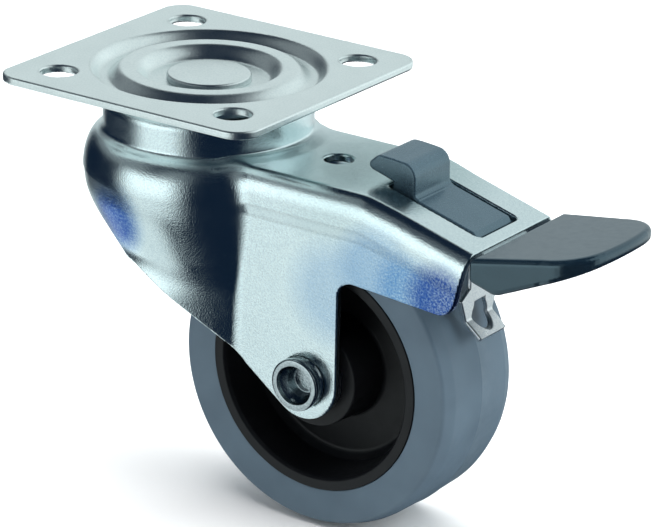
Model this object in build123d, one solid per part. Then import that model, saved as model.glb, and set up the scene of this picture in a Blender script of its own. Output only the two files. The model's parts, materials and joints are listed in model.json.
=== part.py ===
"""Swivel castor with a foot brake, as separate pieces, in millimetres.

The origin is on the swivel axis, at the upper face of the top plate. +X is the way
that the wheel trails, Y runs along the axle and +Z is up.
"""
from build123d import *
from math import atan2, cos, hypot, pi, radians, sin, sqrt, tan
import os

# Main sizes of the castor
wheel_d = 75.0
wheel_w = 28.0
tyre_t = 9.4
trail = 41.0
sheet_t = 2.0
tyre_gap_top = 9.0
tyre_gap_side = 2.4

# Top plate
plate_size = 72.0
plate_t = 2.0
plate_corner_r = 6.0
plate_edge_r = 0.44
bolt_spacing = 50.0
bolt_hole_d = 8.6
bolt_hole_lip = 0.5
groove_outer_r = 28.4
groove_r = 25.0
groove_depth = 2.6
ring_r = 19.3
ring_drop = 0.2
well_r = 13.8
well_depth = 3.2

# King pin and ball races
pin_r = 6.0
pin_head_r = 10.0
pin_head_h = 1.6
pin_head_edge = 0.352
pin_end_r = 9.0
pin_end_foot_r = 6.48
pin_end_h = 2.6
washer_r = 10.0
washer_t = 1.2
fit_gap = 0.03
ball_r = 1.7
ball_gap = 0.05
ball_spacing = 4.3
race_r = 2.0
upper_race_depth = 0.15
lower_race_depth = 0.3
lower_pitch_r = 12.0
cup_wall_t = 1.4
cup_wall_h = 2.4
ball_side_gap = 0.3

# Neck and crown of the fork
neck_r = 24.9
neck_corner_r = 3.0
neck_toe = 2.1
neck_toe_rise = 1.47
neck_toe_sink = 0.945
crown_drop = 15.0
head_hole_r = 8.2
nose_r = 29.5
shoulder_w = 4.5
shoulder_h = 9.0

# Sides and tail of the fork
band_step = 0.8
band_fade = 9.5
tail_end_step = 0.12
step_drop = 10.0
step_h = 1.2
tail_slope = 15.5
tail_end_lean = 2.2
skirt_drop = 21.8
skirt_dip = 1.1
skirt_corner_r = 3.6
leg_notch_r = 3.8
leg_end_r = 9.3
front_cut = 36.1
wrap_h = 38.0
wrap_start = 4.0
wrap_slide = 11.6
wrap_crease_x = 21.8
crown_hole_x = 37.3
crown_hole_d = 6.8
slot_l = 25.5
slot_half = 8.2
slot_corner_r = 1.6
slot_to_end = 3.5
slot_before_break = 0.5

# Axle and bearing
axle_r = 6.0
axle_drill_r = 3.3
axle_drill_depth = 5.2
axle_mouth_r = 4.6
axle_sink_depth = 2.6
axle_stand = 3.9
axle_bead_r = 6.3
axle_bead_y = 0.6
axle_bead_h = 1.3
run_gap = 0.04
sleeve_t = 1.5
roller_r = 1.5
roller_count = 8
roller_play = 4.5
cage_t = 1.8
cage_play = 3.0
hub_wall_t = 2.1
hub_gap = 0.5
hub_washer_r = 8.6
hub_washer_t = 1.4

# Wheel
tyre_edge_r = 1.3
rim_lip_w = 2.7
rim_stand = 0.15
rim_lip_bevel = 0.5
rim_wall_t = 4.2
rim_wall_y = 3.4
web_half = 1.9
web_fillet_r = 1.6
key_h = 1.9
key_half = 3.0
key_draft = 0.57
hub_draft = 0.6

# Foot brake, placed along the tail from the tongue
tongue_reach = 0.96
tongue_to_end = 8.0
pivot_to_tongue = 5.0
web_drop = 3.1
web_t = 2.0
web_bend_back = 0.4
web_front = 13.4
web_half_front = 6.4
web_half_pedal = 9.0
ear_gap = 1.4
ear_r = 4.6
rocker_pin_r = 2.5
pivot_gap = 0.5
pin_plate_t = 2.0
pin_plate_r = 6.0
pin_plate_top = 3.1
pin_plate_lift = 0.6
spring_washer_t = 0.5
spring_washer_r = 5.2

# Brake tongue
tongue_t = 1.0
tongue_gap = 2.47
tongue_bend_r = 0.6
tongue_lip_l = 5.4
tongue_lip_slope = 40.0
tongue_neck_half = 4.0
tongue_shoulder_h = 5.4
tongue_shoulder_half = 7.6
tongue_shoulder_rise = 2.232
tongue_waist_half = 5.5
tongue_lip_half = 5.1
tongue_flange_l = 6.4
tongue_slot_half = 2.2
tongue_slot_h = 4.0
tongue_slot_r = 2.09
tongue_hole_r = 3.1
tongue_hole_up = 0.7
rivet_r = 1.4
rivet_head_r = 2.4
rivet_head_h = 0.8
rivet_half = 2.6
rivet_from_tongue = 3.6

# Pedal
pedal_gap = 1.2
pedal_l = 27.0
pedal_extra_half = 1.3
pedal_side_l = 18.8
pedal_taper = 2.5
pedal_corner_in = 7.7
pedal_corner_bow = 2.233
pedal_front_bow = 1.0
pedal_top_slope = 0.19
pedal_heel_x = 6.3
pedal_heel_drop = 7.5
pedal_root_drop = 5.3
pedal_root_in = 0.8
pedal_front_t = 4.2
pedal_edge_r = 0.8
pedal_wall_t = 2.4
pedal_rib_t = 1.6
pedal_ribs = 3
pedal_grip = 15.8

# Release lever
lever_side_gap = 0.8
lever_front_gap = 1.3
lever_back_gap = 2.2
lever_sink = 0.15
lever_end_lean = 1.0
hook_top = 6.2
hook_reach = 6.6
hook_t = 4.3
hook_l = 12.4
hook_back_r = 3.4
hook_tip_r = 1.2
hook_foot_r = 1.2

# Sizes that follow from the ones above
wheel_r = wheel_d / 2
wheel_half = wheel_w / 2
crown_z = -crown_drop
nose_z = crown_z - shoulder_h
wrap_z = nose_z - wrap_h
axle_z = crown_z - sheet_t - tyre_gap_top - wheel_r
overall_h = wheel_r - axle_z
leg_inner = wheel_half + tyre_gap_side
leg_half = leg_inner + sheet_t
band_half = leg_half + band_step
leg_back_x = trail + leg_end_r
skirt_z = crown_z - skirt_drop
rim_r = wheel_r - tyre_t
rim_lip_r = rim_r - rim_lip_w
rim_wall_r = rim_r - rim_wall_t
ring_under_z = -ring_drop - plate_t
well_under_z = -well_depth - plate_t
upper_ball_z = ring_under_z - ball_gap - ball_r
head_z = upper_ball_z - ball_r - ball_gap + upper_race_depth
head_under_z = head_z - sheet_t
lower_ball_z = head_under_z + lower_race_depth - ball_gap - ball_r
cup_z = lower_ball_z - ball_r - ball_gap + lower_race_depth
cup_under_z = cup_z - sheet_t
washer_under_z = cup_under_z - washer_t
sleeve_r = axle_r + run_gap + sleeve_t
roller_pitch_r = sleeve_r + run_gap + roller_r
hub_bore_r = roller_pitch_r + roller_r + run_gap
hub_r = hub_bore_r + hub_wall_t
hub_half = leg_inner - hub_gap - hub_washer_t
roller_l = 2 * (hub_half - roller_play)
cage_l = 2 * (hub_half - cage_play)
slope = tan(radians(tail_slope))
tongue_x = trail + tongue_reach * wheel_r
tongue_bend_z = axle_z + sqrt((wheel_r + tongue_gap) ** 2 - (tongue_x - tongue_t - trail) ** 2)
tail_x = tongue_x + tongue_to_end
pivot_x = tongue_x - pivot_to_tongue
slot_x1 = tail_x - slot_to_end
slot_x0 = slot_x1 - slot_l
tail_break_x = slot_x0 + slot_before_break
pivot_z = crown_z - (pivot_x - tail_break_x) * slope - web_drop - web_t - pivot_gap - rocker_pin_r
web_x0 = pivot_x - web_front
ear_x0 = pivot_x - ear_r
ear_x1 = pivot_x + ear_r
ear_half = leg_inner - pin_plate_t - ear_gap
pedal_x0 = tail_x + pedal_gap
pedal_x1 = pedal_x0 + pedal_l
pedal_half = leg_half + pedal_extra_half
web_bend_x = tail_x - web_bend_back
web_x1 = pedal_x0 + pedal_grip
neck_front_x = slot_x0 + lever_front_gap
lever_half = slot_half - lever_side_gap
lever_x1 = slot_x1 - lever_back_gap
hook_top_z = crown_z + hook_top
hook_tip_x = neck_front_x - hook_reach
hook_back_x = hook_tip_x + hook_l
rivet_x = tongue_x + rivet_from_tongue


def tail_z(x):
    """Height of the upper face of the crown and tail at x."""
    return crown_z - max(0.0, x - tail_break_x) * slope


def face_of(edges):
    """One flat face inside a closed run of edges."""
    return Face(Wire(edges))


def outline(points):
    """Straight edges through the points and back to the first."""
    return Polyline(*points, close=True).edges()


def turned(face, axle=False):
    """Full turn of an r-z face round the swivel axis, or of an r-y face round the axle."""
    body = revolve(Plane.XZ * face, Axis.Z)
    if axle:
        body = Pos(trail, 0, axle_z) * Rot(-90, 0, 0) * body
    return body


def across(face, y0, y1):
    """Plate with the outline of an x-z face, from y0 to y1."""
    placed = Plane((0, y1, 0), x_dir=(1, 0, 0), z_dir=(0, -1, 0)) * face
    return extrude(placed, y1 - y0, dir=(0, -1, 0))


def bar(radius, x, z, y0, y1):
    """Round bar along Y."""
    return Pos(x, (y0 + y1) / 2, z) * Rot(90, 0, 0) * Cylinder(radius, y1 - y0)


def ball_ring(pitch_r, z):
    """Ring of separate balls."""
    count = int(2 * pi * pitch_r / ball_spacing)
    return [Rot(0, 0, 360 * i / count) * Pos(pitch_r, 0, z) * Sphere(ball_r) for i in range(count)]


def ogee(a, b):
    """Two equal arcs from a to b that start and end level."""
    middle = ((a[0] + b[0]) / 2, (a[1] + b[1]) / 2)
    way = 1 if b[0] > a[0] else -1
    return [TangentArc(a, middle, tangent=(way, 0)), TangentArc(b, middle, tangent=(-way, 0))]


def bent_strip(points, t, bend_r):
    """Face of a bent sheet: the points run along its upper face, and t goes to the right of the run."""
    shifted = []
    for i, (x, z) in enumerate(points):
        before = points[max(i - 1, 0)]
        after = points[min(i + 1, len(points) - 1)]
        a = atan2(z - before[1], x - before[0]) if i > 0 else atan2(after[1] - z, after[0] - x)
        b = atan2(after[1] - z, after[0] - x) if i < len(points) - 1 else a
        middle = (a + b) / 2
        reach = t / cos((b - a) / 2)
        shifted.append((x + reach * sin(middle), z - reach * cos(middle)))
    upper = FilletPolyline(*points, radius=bend_r)
    lower = FilletPolyline(*shifted, radius=bend_r)
    start = Line(points[0], shifted[0])
    end = Line(points[-1], shifted[-1])
    return face_of(upper.edges() + lower.edges() + [start, end])


def save(name, shape):
    """Write one node, with its solids side by side."""
    solids = shape if isinstance(shape, list) else shape.solids()
    export_step(Compound(children=list(solids)) if len(solids) > 1 else solids[0], f"parts/{name}.step")


def top_plate():
    """Square plate with two press rings round a well, and a lipped hole in each corner."""
    plate = Pos(0, 0, -plate_t / 2) * Box(plate_size, plate_size, plate_t)
    plate = fillet(plate.edges().filter_by(Axis.Z), plate_corner_r)
    plate = fillet(plate.edges().group_by(Axis.Z)[-1] + plate.edges().group_by(Axis.Z)[0], plate_edge_r)
    plate -= Pos(0, 0, -plate_t / 2) * Cylinder(groove_outer_r, 2 * plate_t)
    rings = [
        (groove_outer_r, 0.0),
        (groove_r, -groove_depth),
        (ring_r, -ring_drop),
        (well_r, -well_depth),
    ]
    top = [edge for a, b in zip(rings, rings[1:]) for edge in ogee(a, b)]
    under = [Pos(0, -plate_t) * edge for edge in top]
    hole_r = pin_r + fit_gap
    floor = Line((well_r, -well_depth), (hole_r, -well_depth))
    bore = Line((hole_r, -well_depth), (hole_r, well_under_z))
    floor_under = Line((hole_r, well_under_z), (well_r, well_under_z))
    rim = Line((groove_outer_r, -plate_t), (groove_outer_r, 0))
    plate += turned(face_of(top + [floor, bore, floor_under] + under + [rim]))
    half = bolt_spacing / 2
    hole = Cylinder(bolt_hole_d / 2, 4 * plate_t)
    lip_r = bolt_hole_d / 2 + bolt_hole_lip
    lip = Pos(0, 0, -bolt_hole_lip / 2) * Cone(bolt_hole_d / 2, lip_r, bolt_hole_lip)
    for x in (-half, half):
        for y in (-half, half):
            plate -= Pos(x, y, 0) * (hole + lip)
    return plate


def king_pin():
    """Rivet with a low head in the well and a formed end under the washer."""
    head_top = -well_depth + pin_head_h
    end_z = washer_under_z - pin_end_h
    points = [
        (0, head_top),
        (pin_head_r - pin_head_edge, head_top),
        (pin_head_r, head_top - pin_head_edge),
        (pin_head_r, -well_depth),
        (pin_r, -well_depth),
        (pin_r, washer_under_z),
        (pin_end_r, washer_under_z),
        (pin_end_foot_r, end_z),
        (0, end_z),
    ]
    return turned(face_of(outline(points)))


def lower_race():
    """Pressed cup that carries the lower balls round the king pin."""
    inner = pin_r + fit_gap
    wall_in = lower_pitch_r + ball_r + ball_side_gap
    wall_out = wall_in + cup_wall_t
    points = [
        (inner, cup_z),
        (wall_in, cup_z),
        (wall_in, cup_z + cup_wall_h),
        (wall_out, cup_z + cup_wall_h),
        (wall_out, cup_under_z + cup_wall_t),
        (wall_out - cup_wall_t, cup_under_z),
        (inner, cup_under_z),
    ]
    cup = turned(face_of(outline(points)))
    groove_z = lower_ball_z - ball_r - ball_gap + race_r
    return cup - Pos(0, 0, groove_z) * Torus(lower_pitch_r, race_r)


def race_washer():
    """Flat washer between the cup and the formed end of the king pin."""
    inner = pin_r + fit_gap
    points = [
        (inner, cup_under_z),
        (washer_r, cup_under_z),
        (washer_r, washer_under_z),
        (inner, washer_under_z),
    ]
    return turned(face_of(outline(points)))


def side_section(x, grow, step=band_step):
    """Cross-section of the crown and sides at x, drawn in by grow for the inside."""
    top = tail_z(x) - grow
    low = leg_half - grow
    wide = leg_half + step - grow
    a = shoulder_w - grow
    b = shoulder_h - grow
    step_z = tail_z(x) - step_drop
    foot = -overall_h
    edges = [Line((a - wide, top), (wide - a, top))]
    for s in (1, -1):
        start = 0 if s > 0 else 90
        edges.append(EllipticalCenterArc((s * (wide - a), top - b), a, b, start, arc_size=90))
        edges.append(Line((s * wide, top - b), (s * wide, step_z)))
        edges.append(Line((s * wide, step_z), (s * low, step_z - step_h)))
        edges.append(Line((s * low, step_z - step_h), (s * low, foot)))
    edges.append(Line((low, foot), (-low, foot)))
    return Plane((x, 0, 0), x_dir=(0, 1, 0), z_dir=(1, 0, 0)) * face_of(edges)


def nose(grow):
    """Rounded front of the fork: a turned shoulder, and a wrap under it that narrows and slides back."""
    r = nose_r - grow
    a = shoulder_w - grow
    b = shoulder_h - grow
    top = crown_z - grow
    body = turned(face_of([
        EllipticalCenterArc((r - a, nose_z), a, b, 0, arc_size=90),
        Line((r, nose_z), (0, nose_z)),
        Line((0, nose_z), (0, top)),
        Line((0, top), (r - a, top)),
    ]))
    straight = extrude(Pos(0, 0, nose_z) * Circle(r), wrap_start, dir=(0, 0, -1))
    upper = Pos(0, 0, nose_z - wrap_start) * Circle(r)
    lower = Pos(wrap_slide, 0, wrap_z) * Circle(hypot(wrap_crease_x - wrap_slide, leg_half) - grow)
    return body + straight + loft([upper, lower], ruled=True)


def fork_sides(grow):
    """Crown, legs and tail as one run of cross-sections, before the side view is cut."""
    flat = extrude(side_section(0, grow), tail_break_x, dir=(1, 0, 0))
    fade_x = tail_break_x + band_fade
    start = side_section(tail_break_x, grow)
    faded = side_section(fade_x, grow, tail_end_step)
    end = side_section(tail_x + shoulder_w, grow, tail_end_step)
    return flat + loft([start, faded], ruled=True) + loft([faded, end], ruled=True)


def side_view():
    """Outline of the fork seen along the axle."""
    cut = radians(front_cut)
    touch = (trail - leg_end_r * sin(cut), axle_z - leg_end_r * cos(cut))
    front_x = -nose_r - 1
    front_z = touch[1] + (touch[0] - front_x) * tan(cut)
    bottom = (trail, axle_z - leg_end_r)
    back = (leg_back_x, axle_z)
    notch_x = leg_back_x + leg_notch_r
    notch_z = skirt_z - leg_notch_r
    end_z = skirt_z - skirt_dip
    low_x = tail_x - tail_end_lean
    corner = skirt_corner_r
    lean = tail_end_lean / (tail_z(tail_x) - end_z)
    edges = [
        Line((front_x, 0), (front_x, front_z)),
        Line((front_x, front_z), touch),
        ThreePointArc(touch, bottom, back),
        Line(back, (leg_back_x, notch_z)),
        TangentArc((leg_back_x, notch_z), (notch_x, skirt_z), tangent=(0, 1)),
        Line((notch_x, skirt_z), (low_x - 2 * corner, end_z)),
        Line((low_x - 2 * corner, end_z), (low_x - corner, end_z)),
        TangentArc((low_x - corner, end_z), (low_x + corner * lean, end_z + corner), tangent=(1, 0)),
        Line((low_x + corner * lean, end_z + corner), (tail_x, tail_z(tail_x))),
        Line((tail_x, tail_z(tail_x)), (tail_x, 0)),
        Line((tail_x, 0), (front_x, 0)),
    ]
    return face_of(edges)


def fork():
    """One pressed sheet: neck with the ball races, crown, wrap, legs and tail."""
    outer = nose(0) + fork_sides(0)
    neck = Pos(0, 0, (head_z + crown_z - neck_toe) / 2) * Cylinder(neck_r, head_z - crown_z + neck_toe)
    neck = fillet(neck.edges().group_by(Axis.Z)[-1], neck_corner_r)
    toe_top = crown_z + neck_toe_rise
    toe_foot = crown_z - neck_toe_sink
    toe = face_of([
        Line((neck_r - 1, toe_foot), (neck_r - 1, toe_top)),
        Line((neck_r - 1, toe_top), (neck_r, toe_top)),
        TangentArc((neck_r, toe_top), (neck_r + neck_toe, toe_foot), tangent=(0, -1)),
        Line((neck_r + neck_toe, toe_foot), (neck_r - 1, toe_foot)),
    ])
    outer += neck + turned(toe)
    inner = nose(sheet_t) + fork_sides(sheet_t)
    bore_h = head_under_z + overall_h / 2
    bore = Pos(0, 0, head_under_z - bore_h / 2) * Cylinder(neck_r - sheet_t, bore_h)
    bore = fillet(bore.edges().group_by(Axis.Z)[-1], neck_corner_r - sheet_t)
    shell = outer - inner - bore
    shell = shell & across(side_view(), -2 * nose_r, 2 * nose_r)
    shell -= Pos(0, 0, head_z) * Cylinder(head_hole_r, 4 * sheet_t)
    upper_groove_z = upper_ball_z - ball_r - ball_gap + race_r
    lower_groove_z = lower_ball_z + ball_r + ball_gap - race_r
    shell -= Pos(0, 0, upper_groove_z) * Torus(ring_r, race_r)
    shell -= Pos(0, 0, lower_groove_z) * Torus(lower_pitch_r, race_r)
    shell -= bar(axle_r + fit_gap, trail, axle_z, -2 * band_half, 2 * band_half)
    shell -= Pos(crown_hole_x, 0, crown_z) * Cylinder(crown_hole_d / 2, 4 * sheet_t)
    slot = Box(slot_l, 2 * slot_half, 8 * sheet_t)
    slot = fillet(slot.edges().filter_by(Axis.Z), slot_corner_r)
    shell -= Pos(slot_x0 + slot_l / 2, 0, tail_z(slot_x0 + slot_l / 2)) * slot
    return shell


def axle_rivet():
    """Axle riveted over outside the legs, with a bead near each drilled and countersunk end."""
    end = leg_half + axle_stand
    foot = leg_half + axle_bead_y
    bead = foot + axle_bead_h
    soft = axle_bead_r - axle_r
    half = [
        (0, end - axle_drill_depth),
        (axle_drill_r, end - axle_drill_depth),
        (axle_drill_r, end - axle_sink_depth),
        (axle_mouth_r, end - axle_sink_depth / 2),
        (axle_mouth_r, end),
        (axle_r - soft, end),
        (axle_r, end - soft),
        (axle_r, bead + soft),
        (axle_bead_r, bead),
        (axle_bead_r, foot),
        (axle_r, foot - soft),
    ]
    points = half + [(r, -y) for r, y in reversed(half)]
    return turned(face_of(outline(points)), axle=True)


def ring_on_axle(inner, outer, y0, y1):
    """Plain ring round the axle."""
    points = [(inner, y0), (outer, y0), (outer, y1), (inner, y1)]
    return turned(face_of(outline(points)), axle=True)


def roller_place(i):
    """Place of one roller round the axle."""
    return Pos(trail, 0, axle_z) * Rot(0, 360 * i / roller_count, 0) * Pos(roller_pitch_r, 0, 0)


def bearing_rollers():
    """Rollers that run between the sleeve and the bore of the hub."""
    roller = Rot(90, 0, 0) * Cylinder(roller_r, roller_l)
    return [roller_place(i) * roller for i in range(roller_count)]


def roller_cage():
    """Cage with one pocket for each roller."""
    cage = ring_on_axle(roller_pitch_r - cage_t / 2, roller_pitch_r + cage_t / 2, -cage_l / 2, cage_l / 2)
    pocket = Box(3 * roller_r, roller_l + 4 * run_gap, 2 * roller_r + 4 * run_gap)
    for i in range(roller_count):
        cage -= roller_place(i) * pocket
    return cage


def wheel_centre():
    """Moulded wheel: rim with a lip, thin web and a long hub."""
    lip_y = wheel_half + rim_stand
    half = [
        (hub_bore_r, hub_half),
        (hub_r - hub_draft, hub_half),
        (hub_r, web_half),
        (rim_wall_r - web_fillet_r, web_half),
        (rim_wall_r, rim_wall_y),
        (rim_lip_r, lip_y - rim_lip_bevel),
        (rim_lip_r + rim_lip_bevel, lip_y),
        (rim_r, lip_y),
        (rim_r, key_half),
        (rim_r + key_h, key_half - key_draft),
    ]
    points = half + [(r, -y) for r, y in reversed(half)]
    return turned(face_of(outline(points)), axle=True)


def tyre():
    """Rubber ring, keyed on the rim."""
    soft = tyre_edge_r
    edges = [
        Line((rim_r, wheel_half), (wheel_r - soft, wheel_half)),
        TangentArc((wheel_r - soft, wheel_half), (wheel_r, wheel_half - soft), tangent=(1, 0)),
        Line((wheel_r, wheel_half - soft), (wheel_r, soft - wheel_half)),
        TangentArc((wheel_r, soft - wheel_half), (wheel_r - soft, -wheel_half), tangent=(0, -1)),
        Line((wheel_r - soft, -wheel_half), (rim_r, -wheel_half)),
        Line((rim_r, -wheel_half), (rim_r, -key_half)),
        Line((rim_r, -key_half), (rim_r + key_h, key_draft - key_half)),
        Line((rim_r + key_h, key_draft - key_half), (rim_r + key_h, key_half - key_draft)),
        Line((rim_r + key_h, key_half - key_draft), (rim_r, key_half)),
        Line((rim_r, key_half), (rim_r, wheel_half)),
    ]
    return turned(face_of(edges), axle=True)


def pin_plates():
    """Two plates on the inner faces of the tail that carry the rocker pin, cut to the sheet's bend."""
    reach = pin_plate_r
    low = skirt_z + pin_plate_lift
    face = face_of([
        Line((pivot_x - reach, low), (pivot_x + reach, low)),
        Line((pivot_x + reach, low), (pivot_x + pin_plate_top, pivot_z)),
        ThreePointArc(
            (pivot_x + pin_plate_top, pivot_z),
            (pivot_x, pivot_z + pin_plate_top),
            (pivot_x - pin_plate_top, pivot_z),
        ),
        Line((pivot_x - pin_plate_top, pivot_z), (pivot_x - reach, low)),
    ])
    hole = bar(rocker_pin_r + run_gap, pivot_x, pivot_z, -2 * leg_half, 2 * leg_half)
    room = fork_sides(sheet_t + fit_gap)
    plates = []
    for y0 in (-leg_inner, leg_inner - pin_plate_t):
        plates += ((across(face, y0, y0 + pin_plate_t) - hole) & room).solids()
    return plates


def rocker_pin():
    """Pin that the rocker turns on, held between the legs of the tail."""
    return bar(rocker_pin_r, pivot_x, pivot_z, -leg_inner + run_gap, leg_inner - run_gap)


def spring_washers():
    """Dished washers that press on the ears, so that the rocker stays where it is set."""
    rings = []
    start = ear_half + run_gap
    end = leg_inner - pin_plate_t - run_gap
    inner = rocker_pin_r + run_gap
    for side in (1, -1):
        points = [
            (inner, side * start),
            (inner, side * (start + spring_washer_t)),
            (spring_washer_r, side * end),
            (spring_washer_r, side * (end - spring_washer_t)),
        ]
        ring = turned(face_of(outline(points)))
        rings += (Pos(pivot_x, 0, pivot_z) * Rot(-90, 0, 0) * ring).solids()
    return rings


def web_line():
    """Upper face of the rocker's web, from under the lever into the pedal."""
    return [
        (web_x0, tail_z(web_x0) - web_drop),
        (web_bend_x, tail_z(web_bend_x) - web_drop),
        (web_x1, pedal_top(web_x1) - web_drop),
    ]


def brake_rocker():
    """Folded steel lever: a web with two ears on the pin."""
    web = across(bent_strip(web_line(), web_t, web_t), -ear_half, ear_half)
    mid_x = (web_x0 + web_x1) / 2
    plan = Pos(mid_x, 0, 0) * Box(web_x1 - web_x0, 2 * web_half_front, overall_h)
    plan += Pos(pivot_x, 0, 0) * Box(ear_x1 - ear_x0, 2 * ear_half, overall_h)
    plan += Pos((ear_x1 + web_x1) / 2, 0, 0) * Box(web_x1 - ear_x1, 2 * web_half_pedal, overall_h)
    body = web & (Pos(0, 0, crown_z) * plan)
    sink = web_drop + web_t / 2
    ear = face_of([
        Line((ear_x0, tail_z(ear_x0) - sink), (ear_x1, tail_z(ear_x1) - sink)),
        Line((ear_x1, tail_z(ear_x1) - sink), (ear_x1, pivot_z)),
        ThreePointArc((ear_x1, pivot_z), (pivot_x, pivot_z - ear_r), (ear_x0, pivot_z)),
        Line((ear_x0, pivot_z), (ear_x0, tail_z(ear_x0) - sink)),
    ])
    for y0 in (-ear_half, ear_half - web_t):
        body += across(ear, y0, y0 + web_t)
    body -= bar(rocker_pin_r + run_gap, pivot_x, pivot_z, -2 * ear_half, 2 * ear_half)
    for y in (-rivet_half, rivet_half):
        body -= Pos(rivet_x, y, tail_z(rivet_x)) * Cylinder(rivet_r + fit_gap, 4 * web_drop)
    return body


def under_web(x, depth):
    """Height of a point at x that lies depth below the under face of the rocker's web."""
    return tail_z(x) - web_drop - (web_t + depth) * hypot(1, slope)


def brake_tongue():
    """Bent sheet that swings on to the tread, with a keyhole over its bend."""
    lip = radians(tongue_lip_slope)
    lip_x = tongue_x + tongue_lip_l * cos(lip)
    lip_z = tongue_bend_z - tongue_lip_l * sin(lip)
    run = [
        (lip_x, lip_z),
        (tongue_x, tongue_bend_z),
        (tongue_x, under_web(tongue_x, tongue_t)),
        (tongue_x + tongue_flange_l, under_web(tongue_x + tongue_flange_l, tongue_t)),
    ]
    sheet = across(bent_strip(list(reversed(run)), tongue_t, tongue_bend_r), -2 * ear_half, 2 * ear_half)
    top = crown_z
    shoulder_z = tongue_bend_z + tongue_shoulder_h
    neck_z = shoulder_z + tongue_shoulder_rise
    half = [
        (tongue_neck_half, top),
        (tongue_neck_half, neck_z),
        (tongue_shoulder_half, shoulder_z),
        (tongue_waist_half, tongue_bend_z),
        (tongue_lip_half, lip_z - 2 * tongue_t),
    ]
    points = half + [(-y, z) for y, z in reversed(half)]
    front = Plane((trail, 0, 0), x_dir=(0, 1, 0), z_dir=(1, 0, 0))
    sheet = sheet & extrude(front * face_of(outline(points)), trail * 2, dir=(1, 0, 0))
    slot = Box(8 * tongue_t, 2 * tongue_slot_half, tongue_slot_h)
    slot = fillet(slot.edges().filter_by(Axis.X).group_by(Axis.Z)[-1], tongue_slot_r)
    sheet -= Pos(tongue_x, 0, tongue_bend_z + tongue_slot_h / 2) * slot
    hole = Rot(0, tongue_lip_slope, 0) * Cylinder(tongue_hole_r, 4 * tongue_t)
    hole_x = tongue_x - tongue_hole_up * cos(lip)
    sheet -= Pos(hole_x, 0, tongue_bend_z + tongue_hole_up * sin(lip)) * hole
    for y in (-rivet_half, rivet_half):
        sheet -= Pos(rivet_x, y, tail_z(rivet_x)) * Cylinder(rivet_r + fit_gap, 6 * web_drop)
    return sheet


def tongue_rivets():
    """Two rivets through the web and the flange of the tongue."""
    top = tail_z(rivet_x) - web_drop - rivet_r * slope
    under = under_web(rivet_x, tongue_t)
    head_z = under - rivet_head_r * slope - rivet_head_h / 2
    rivets = []
    for y in (-rivet_half, rivet_half):
        shank = Pos(rivet_x, y, (top + head_z) / 2) * Cylinder(rivet_r, top - head_z)
        head = Pos(rivet_x, y, head_z - rivet_head_h / 2) * Cylinder(rivet_head_r, rivet_head_h)
        rivets += (shank + head).solids()
    return rivets


def pedal_plan(inset):
    """Outline of the pedal from above, drawn in by inset."""
    back = (pedal_x0 + inset, pedal_half - inset)
    side = (pedal_x0 + pedal_side_l, pedal_half - pedal_taper - inset)
    front = (pedal_x1 - pedal_front_bow - inset, side[1] - pedal_corner_in)
    middle = (front[0] - pedal_corner_bow, side[1] - pedal_corner_bow)
    return face_of([
        Line((back[0], -back[1]), (side[0], -side[1])),
        ThreePointArc((side[0], -side[1]), (middle[0], -middle[1]), (front[0], -front[1])),
        ThreePointArc((front[0], -front[1]), (pedal_x1 - inset, 0), front),
        ThreePointArc(front, middle, side),
        Line(side, back),
        Line(back, (back[0], -back[1])),
    ])


def pedal_top(x):
    """Height of the pedal's tread at x."""
    return tail_z(tail_x) + (x - pedal_x0) * pedal_top_slope


def pedal():
    """Wedge-shaped foot pedal, moulded round the end of the rocker and ribbed underneath."""
    top = pedal_top(pedal_x0)
    heel = (pedal_x0 + pedal_heel_x, top - pedal_heel_drop)
    side = [
        (pedal_x0, top),
        (pedal_x1, pedal_top(pedal_x1)),
        (pedal_x1, pedal_top(pedal_x1) - pedal_front_t),
        heel,
        (pedal_x0 + pedal_root_in, top - pedal_root_drop),
    ]
    block = across(face_of(outline(side)), -pedal_half, pedal_half)
    block = block & extrude(pedal_plan(0), -overall_h, dir=(0, 0, 1))
    block = fillet(block.edges(), pedal_edge_r)
    floor = [(x, z - web_t - pedal_wall_t / 2) for x, z in web_line()[1:]]
    low = heel[1] - pedal_root_drop
    reach = (floor[1][1] - floor[0][1]) / (floor[1][0] - floor[0][0])
    far_z = floor[1][1] + reach * (pedal_x1 - floor[1][0])
    pocket_side = face_of(outline([floor[0], (pedal_x1, far_z), (pedal_x1, low), (floor[0][0], low)]))
    pocket = across(pocket_side, -pedal_half, pedal_half)
    pocket = pocket & extrude(pedal_plan(pedal_wall_t), -overall_h, dir=(0, 0, 1))
    for i in range(pedal_ribs):
        y = (i + 1 - (pedal_ribs + 1) / 2) * 2 * pedal_half / (pedal_ribs + 1)
        pocket -= Pos(heel[0], y, heel[1]) * Box(overall_h, pedal_rib_t, overall_h)
    block -= pocket
    insert = across(bent_strip(web_line(), web_t, web_t), -web_half_pedal, web_half_pedal)
    return block - insert


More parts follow.
